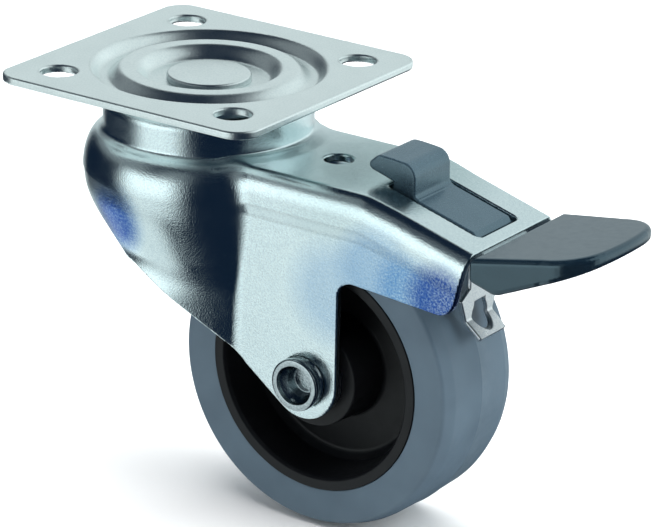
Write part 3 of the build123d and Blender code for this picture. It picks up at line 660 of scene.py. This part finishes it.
def tongue_field(x, y, z):
    dx, dz = x - TONGUE_X, z - TONGUE_BEND_Z
    along = dx * math.cos(LIP) - dz * math.sin(LIP)
    off_lip = dx * math.sin(LIP) + dz * math.cos(LIP)
    upright = cut(np.abs(dx) - TONGUE_HALF_T, -dz - 0.2, 0.1)
    lip = cut(np.abs(off_lip) - TONGUE_HALF_T, np.maximum(along - LIP_LENGTH, -along), 0.1)
    length = np.where(dz > -along, -dz, along)
    f = cut(join(upright, lip, 0.3), inside_outline(length, y, TONGUE_OUTLINE), 0.3)
    slot = np.maximum(np.abs(y) - KEY_HALF, np.maximum(-length - KEY_HEIGHT, length))
    hole = np.hypot(length + KEY_HOLE_UP, y) - KEY_HOLE_R
    return cut(f, -join(slot, hole, 0.6), 0.25)


tongue_cell = 0.22
tongue = skin("tongue_skin", tongue_field, (75.2, -8.4, -49), (82, 8.4, -26.6), tongue_cell)
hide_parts("brake_tongue")
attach(tongue, "brake")

# %% [markdown]
# ## Finishes
# A finish could be a photograph wrapped round the piece, but that would need unwrapping and would
# show its pixels from near by. Here each one is made from a few noise nodes that follow the
# object's own coordinates. These helpers each add one node to a material's tree.

# %% Small helpers for materials
BUMP_DEPTH = 0.00005


def new_finish(name):
    mat = bpy.data.materials.new(name)
    mat.use_nodes = True
    return mat, mat.node_tree, mat.node_tree.nodes["Principled BSDF"]


def noise(tree, scale, detail=4, rough=0.55):
    """Noise that sticks to the piece."""
    coords = tree.nodes.new("ShaderNodeTexCoord")
    tex = tree.nodes.new("ShaderNodeTexNoise")
    tex.inputs["Scale"].default_value = scale
    tex.inputs["Detail"].default_value = detail
    tex.inputs["Roughness"].default_value = rough
    tree.links.new(coords.outputs["Object"], tex.inputs["Vector"])
    return tex.outputs["Fac"]


def ramp(tree, source, stops):
    """Colour between two stops, each a place and a colour."""
    node = tree.nodes.new("ShaderNodeValToRGB")
    for element, (place, colour) in zip(node.color_ramp.elements, stops):
        element.position = place
        element.color = (*colour, 1)
    tree.links.new(source, node.inputs["Fac"])
    return node.outputs["Color"]


def spread(tree, source, low, high, from_low=0.3, from_high=0.7):
    """The source's range spread over low to high."""
    node = tree.nodes.new("ShaderNodeMapRange")
    node.inputs["From Min"].default_value = from_low
    node.inputs["From Max"].default_value = from_high
    node.inputs["To Min"].default_value = low
    node.inputs["To Max"].default_value = high
    tree.links.new(source, node.inputs["Value"])
    return node.outputs["Result"]


def bump(tree, source, strength, before=None):
    """A slight unevenness, on top of one made before."""
    node = tree.nodes.new("ShaderNodeBump")
    node.inputs["Strength"].default_value = strength
    node.inputs["Distance"].default_value = BUMP_DEPTH
    tree.links.new(source, node.inputs["Height"])
    if before is not None:
        tree.links.new(before, node.inputs["Normal"])
    return node.outputs["Normal"]

# %% [markdown]
# The passivation leaves stains where the bath ran off, and two dull blue patches on the near leg are painted
# shade, tinted blue, near the concave corner of leg and tail skirt.
# Each, stain or painted shade, is a colour that is strong at one place on the piece and fades with the
# distance from it.

# %% Helpers for stains and painted shade
def maths(tree, kind, *values):
    """One sum; each value is a number or a socket."""
    node = tree.nodes.new("ShaderNodeMath")
    node.operation = kind
    for socket, value in zip(node.inputs, values):
        if isinstance(value, (int, float)):
            socket.default_value = value
        else:
            tree.links.new(value, socket)
    return node.outputs[0]


def near(tree, place, reach):
    """1 at a place on the piece, fading to 0 at reach millimetres."""
    coords = tree.nodes.new("ShaderNodeTexCoord")
    away = tree.nodes.new("ShaderNodeVectorMath")
    away.operation = "DISTANCE"
    away.inputs[1].default_value = [v * MM for v in place]
    tree.links.new(coords.outputs["Object"], away.inputs[0])
    return spread(tree, away.outputs["Value"], 1, 0, reach * 0.5 * MM, reach * MM)


def blend(tree, factor, base, stain_and_shade_colour):
    """The base's colour socket where the factor is 0, and the patch colour, of a stain or of painted shade,
    where it is 1.
    """
    node = tree.nodes.new("ShaderNodeMix")
    node.data_type = "RGBA"
    tree.links.new(factor, node.inputs["Factor"])
    tree.links.new(base, node.inputs["A"])
    node.inputs["B"].default_value = (*stain_and_shade_colour, 1)
    return node.outputs["Result"]

# %% [markdown]
# ## Zinc
# Zinc plating is a thin bright metal layer with a bluish passivation. On pressed sheet it is not a
# mirror: fine grain from rolling and a cloudy change of roughness break the reflection up. The grain
# is in the bump, the speckle in the colour and the cloud in the roughness, each at its own size.

# %% Zinc
def zinc(name, light, dark, rough_low, rough_high, grain, patches=()):
    """Blue-passivated zinc: a fine speckle in a bright metal, cloudy gloss, local stains and patches of
    painted shade.
    """
    mat, tree, shader = new_finish(name)
    shader.inputs["Metallic"].default_value = 1.0
    colour = ramp(tree, noise(tree, 2300, 2, 0.6), [(0.36, dark), (0.60, light)])
    for place, reach, stain_and_shade_colour, low, high in patches:
        spots = spread(tree, noise(tree, 1900, 3, 0.7), low, high, 0.36, 0.60)
        amount = maths(tree, "MULTIPLY", near(tree, place, reach), spots)
        colour = blend(tree, amount, colour, stain_and_shade_colour)
    tree.links.new(colour, shader.inputs["Base Color"])
    gloss = spread(tree, noise(tree, 160, 3), rough_low, rough_high)
    tree.links.new(gloss, shader.inputs["Roughness"])
    waves = bump(tree, noise(tree, 420, 3, 0.5), 0.4 * grain)
    tree.links.new(bump(tree, noise(tree, 2700, 2, 0.6), grain, waves), shader.inputs["Normal"])
    return mat


PASSIVE_BLUE = (0.02, 0.09, 0.38)
MID_BLUE = (0.14, 0.34, 0.64)
# painted shade, tinted blue, for the corner of the near leg and tail skirt
PAINTED_SHADE_BLUE = (0.36, 0.54, 0.74)
DULL_GREEN = (0.42, 0.56, 0.57)
STAINS_AND_SHADE = [
    # place in mm, reach, colour, and the patch's depth between and on its specks
    ((48, 4, -15), 28, DULL_GREEN, 0.5, 0.8),
    # the next two patches are painted shade, tinted blue, not stains
    ((50, -18.4, -40), 15, PAINTED_SHADE_BLUE, 0.45, 0.65),
    ((60, -18.4, -31.5), 12, PAINTED_SHADE_BLUE, 0.6, 0.95),
    ((69, -18.4, -34.5), 10, MID_BLUE, 0.4, 0.9),
    ((77.5, -18.4, -34.8), 10, PASSIVE_BLUE, 0.6, 1.0),
    ((-7.5, -27, -31.5), 11, MID_BLUE, 0.5, 0.9),
    ((-7, -27, -32), 9, PASSIVE_BLUE, 0.6, 1.0),
]
fork_zinc = zinc("fork_zinc", (0.83, 0.94, 0.95), (0.73, 0.85, 0.88), 0.15, 0.23, 0.9, STAINS_AND_SHADE)
plate_zinc = zinc("plate_zinc", (0.93, 1.0, 0.99), (0.84, 0.92, 0.92), 0.28, 0.36, 0.8)
# painted shade: the axle's zinc is darker all over than the fork's, for its shadowed neck and drilled mouth
axle_zinc_painted_shade = zinc("axle_zinc_painted_shade", (0.52, 0.58, 0.60), (0.40, 0.46, 0.48), 0.12, 0.18, 0.6)
bright_steel = zinc("bright_steel", (0.86, 0.88, 0.89), (0.68, 0.72, 0.76), 0.25, 0.38, 0.3)
ball_steel = zinc("ball_steel", (0.82, 0.82, 0.84), (0.74, 0.74, 0.78), 0.08, 0.14, 0.0)
print("stains on the fork:", len(STAINS_AND_SHADE))

# %% [markdown]
# ## Rubber and plastics
# The tyre is a matt blue-grey rubber, and the wheel centre a nearly black plastic with a dull skin.
# Pedal and lever are glossy, and what is seen of them is mostly the room's light with a blue tint,
# so they are dark below a strong, tinted reflection.

# %% Rubber and plastics
def plain(name, light, dark, rough, grain, size, spec=0.5, ior=1.5):
    """A moulded finish with a faint cloud of tone, an uneven gloss and a fine grain."""
    mat, tree, shader = new_finish(name)
    shader.inputs["Specular IOR Level"].default_value = spec
    shader.inputs["IOR"].default_value = ior
    tone = ramp(tree, noise(tree, size), [(0.35, dark), (0.65, light)])
    gloss = spread(tree, noise(tree, size * 4, 3), rough - 0.05, rough + 0.05)
    tree.links.new(tone, shader.inputs["Base Color"])
    tree.links.new(gloss, shader.inputs["Roughness"])
    tree.links.new(bump(tree, noise(tree, size * 12, 3), grain), shader.inputs["Normal"])
    return mat


SKY_TINT = (0.62, 0.88, 1.0, 1)
tyre_rubber = plain("tyre_rubber", (0.080, 0.125, 0.165), (0.068, 0.108, 0.145), 0.55, 0.25, 120)
wheel_plastic = plain("wheel_plastic", (0.0060, 0.0066, 0.0080), (0.0040, 0.0045, 0.0058), 0.42, 0.2, 150, 0.3)
cage_plastic = plain("cage_plastic", (0.75, 0.72, 0.62), (0.68, 0.66, 0.57), 0.5, 0.2, 150)
pedal_plastic = plain("pedal_plastic", (0.005, 0.012, 0.020), (0.003, 0.009, 0.016), 0.20, 0.15, 150, 1.0, 1.6)
lever_plastic = plain("lever_plastic", (0.022, 0.040, 0.055), (0.017, 0.033, 0.047), 0.27, 0.2, 150, 1.0, 1.72)
for moulding in (pedal_plastic, lever_plastic):
    moulding.node_tree.nodes["Principled BSDF"].inputs["Specular Tint"].default_value = SKY_TINT

# %% [markdown]
# The frame names a slot for every CAD piece, and each slot gets its finish. The skins get theirs one by one,
# since the axle and the release lever differ a little from the slot that they belong to: the axle's zinc is
# darker, as painted shade for its shadowed neck and mouth.

# %% Give every piece its finish
FINISH = {"fork_zinc": fork_zinc, "plate_zinc": plate_zinc, "bright_steel": bright_steel,
          "ball_steel": ball_steel, "tyre_rubber": tyre_rubber, "wheel_plastic": wheel_plastic,
          "cage_plastic": cage_plastic, "pedal_plastic": pedal_plastic}
SKIN_FINISH = [(fork_skin, fork_zinc), (plate_skin, plate_zinc), (rivet, plate_zinc), (wheel, wheel_plastic),
               (tyre, tyre_rubber), (axle, axle_zinc_painted_shade), (pedal, pedal_plastic), (lever, lever_plastic),
               (tongue, bright_steel)]
slot_of = {s["node"]: s["material_slot"] for s in frame["record"]["subparts"]}
for node_name, obj in frame["nodes"].items():
    obj.data.materials.clear()
    obj.data.materials.append(FINISH[slot_of[node_name]])
for obj, finish in SKIN_FINISH:
    obj.data.materials.append(finish)
print("finishes:", len(FINISH), "skins:", len(SKIN_FINISH))

# %% [markdown]
# ## The room
# Polished zinc has hardly any colour of its own: what is seen in it is the room. Its bright and dark
# bands tell where the photographer's white screens stood, so the world here is a dark blue room
# with a few screens, each a soft-edged patch of sky between two compass bearings and two heights.
# Real panels in the scene could do the same, but they would also shade the floor.

# %% A dark room with white screens
SCREENS = [
    # bearing from, to and softness, height from, to and softness, brightness
    (-47, 7, 10, -29, 15, 5, 0.93),
    (-47, 7, 10, -12, 15, 5, 0.34),
    (-190, -122, 7, -27, 58, 9, 0.72),
    (102, 200, 8, -25, 22, 8, 1.0),
    (82, 200, 8, 22, 58, 8, 0.80),
    (-116, -28, 7, 15, 46, 6, 0.22),
    (-14, 18, 6, 15, 42, 7, 0.20),
    (-118, -14, 12, -80, -31, 5, 0.82),
    (-152, -62, 8, -40, -24, 4, 0.34),
]
ROOM, SCREEN_WHITE = (0.006, 0.014, 0.030, 1), (0.90, 1.0, 1.01, 1)


def soft_step(tree, value, edge, soft):
    """0 before the edge and 1 after it, or the other way round where soft is negative."""
    node = tree.nodes.new("ShaderNodeMapRange")
    node.interpolation_type = "SMOOTHSTEP"
    node.inputs["From Min"].default_value = edge - abs(soft)
    node.inputs["From Max"].default_value = edge + abs(soft)
    node.inputs["To Min"].default_value = 0 if soft > 0 else 1
    node.inputs["To Max"].default_value = 1 if soft > 0 else 0
    tree.links.new(value, node.inputs["Value"])
    return node.outputs["Result"]


def screens(tree, bearing, height):
    """All the screens' brightness at a bearing and a height, added together."""
    total = None
    for left, right, soft, low, high, soft_h, level in SCREENS:
        patch = maths(tree, "MULTIPLY", soft_step(tree, bearing, left, soft),
                      soft_step(tree, bearing, right, -soft))
        patch = maths(tree, "MULTIPLY", patch, soft_step(tree, height, low, soft_h))
        patch = maths(tree, "MULTIPLY", patch, soft_step(tree, height, high, -soft_h))
        patch = maths(tree, "MULTIPLY", patch, level)
        total = patch if total is None else maths(tree, "ADD", total, patch)
    return total

# %% [markdown]
# The direction that a ray leaves in gives its bearing and its height, both in degrees. The screens'
# sum then mixes the dark of the room with their white, and may go above 1 where two of them overlap.

# %% The world
world = bpy.data.worlds.new("studio")
bpy.context.scene.world = world
world.use_nodes = True
sky = world.node_tree
direction = sky.nodes.new("ShaderNodeSeparateXYZ")
sky.links.new(sky.nodes.new("ShaderNodeTexCoord").outputs["Generated"], direction.inputs[0])
east, north, up = direction.outputs
bearing = maths(sky, "DEGREES", maths(sky, "ARCTAN2", east, maths(sky, "MULTIPLY", north, -1.0)))
height = maths(sky, "DEGREES", maths(sky, "ARCSINE", up))
mix = sky.nodes.new("ShaderNodeMix")
mix.data_type = "RGBA"
mix.clamp_factor = False
mix.inputs["A"].default_value = ROOM
mix.inputs["B"].default_value = SCREEN_WHITE
sky.links.new(screens(sky, bearing, height), mix.inputs["Factor"])
sky.links.new(mix.outputs["Result"], sky.nodes["Background"].inputs["Color"])
print("screens:", len(SCREENS))

# %% [markdown]
# ## The floor
# The castor stands on white paper, which gives the soft shadow below the wheel. The metal must not
# mirror it, because the photo's background was cut away, so it is hidden from glossy rays.

# %% The floor
FLOOR_REACH, FLOOR_Z = 3000, -101.2
floor_corners = [(-FLOOR_REACH, -FLOOR_REACH, FLOOR_Z), (FLOOR_REACH, -FLOOR_REACH, FLOOR_Z),
                 (FLOOR_REACH, FLOOR_REACH, FLOOR_Z), (-FLOOR_REACH, FLOOR_REACH, FLOOR_Z)]
floor = mesh_piece("floor", floor_corners, [(0, 1, 2, 3)])
floor_white, tree, shader = new_finish("floor_white")
shader.inputs["Roughness"].default_value = 0.9
paper = ramp(tree, noise(tree, 2, 2), [(0.3, (0.93, 0.93, 0.93)), (0.7, (0.95, 0.95, 0.95))])
tree.links.new(paper, shader.inputs["Base Color"])
floor.data.materials.append(floor_white)
floor.visible_glossy = False

# %% [markdown]
# ## The soft boxes
# Three area lights shape the rubber and the plastics and draw the shadow. They are hidden from
# glossy rays too, since the screens already make every reflection in the metal.

# %% The soft boxes
AIM = (0.04, 0, -0.04)
SOFT_BOXES = [
    # name, place and size in metres, and power in watts
    ("top_box", (0.1, 0.1, 0.9), (1.4, 1.4), 24),
    ("left_box", (-0.7, -0.7, 0.35), (0.7, 0.9), 4),
    ("right_box", (0.9, 0.2, 0.3), (0.6, 0.8), 6),
]
for name, place, size, power in SOFT_BOXES:
    light = bpy.data.lights.new(name, "AREA")
    light.shape = "RECTANGLE"
    light.size, light.size_y = size
    light.energy = power
    box = bpy.data.objects.new(name, light)
    box.location = Vector(place)
    box.rotation_euler = (Vector(AIM) - box.location).to_track_quat("-Z", "Y").to_euler()
    bpy.context.scene.collection.objects.link(box)
    box.visible_glossy = False
print("soft boxes:", len(SOFT_BOXES))

# %% [markdown]
# ## The camera
# The camera was fitted to the plate's square, the wheel's circles and the axle. The fit gives three
# angles, the distance, the focal length in pixels, and the pixel on which the origin falls. From
# these the camera's three axes and its place follow, which no aiming by hand would match as well.

# %% The camera
AZIMUTH, ELEVATION, ROLL = math.radians(34.44), math.radians(20.71), math.radians(-1.29)
DISTANCE, FOCAL = 995.76, 4260.53
ORIGIN_U, ORIGIN_V = 209.33, 65.35
PHOTO_W, PHOTO_H = 656, 527
SENSOR = 36


def camera_like_photo():
    level = math.cos(ELEVATION)
    back = Vector((math.sin(AZIMUTH) * level, -math.cos(AZIMUTH) * level, math.sin(ELEVATION)))
    level_right = Vector((math.cos(AZIMUTH), math.sin(AZIMUTH), 0))
    level_up = back.cross(level_right)
    c, s = math.cos(ROLL), math.sin(ROLL)
    right, above = c * level_right - s * level_up, s * level_right + c * level_up
    u, v = (ORIGIN_U - PHOTO_W / 2) / FOCAL * DISTANCE, -(ORIGIN_V - PHOTO_H / 2) / FOCAL * DISTANCE
    place = -(right * u + above * v - back * DISTANCE)
    data = bpy.data.cameras.new("camera")
    data.sensor_width = SENSOR
    data.lens = SENSOR * FOCAL / PHOTO_W
    data.clip_start, data.clip_end = 0.05, 20
    camera = bpy.data.objects.new("camera", data)
    matrix = Matrix((right, above, back)).transposed().to_4x4()
    matrix.translation = place * MM
    camera.matrix_world = matrix
    bpy.context.scene.collection.objects.link(camera)
    bpy.context.scene.camera = camera
    print("camera at", [round(v, 4) for v in place * MM])


camera_like_photo()

# %% [markdown]
# ## Last steps
# The standard view keeps the tones as they were set against the photo.

# %% Finish
scene = bpy.context.scene
scene.view_settings.view_transform = "Standard"
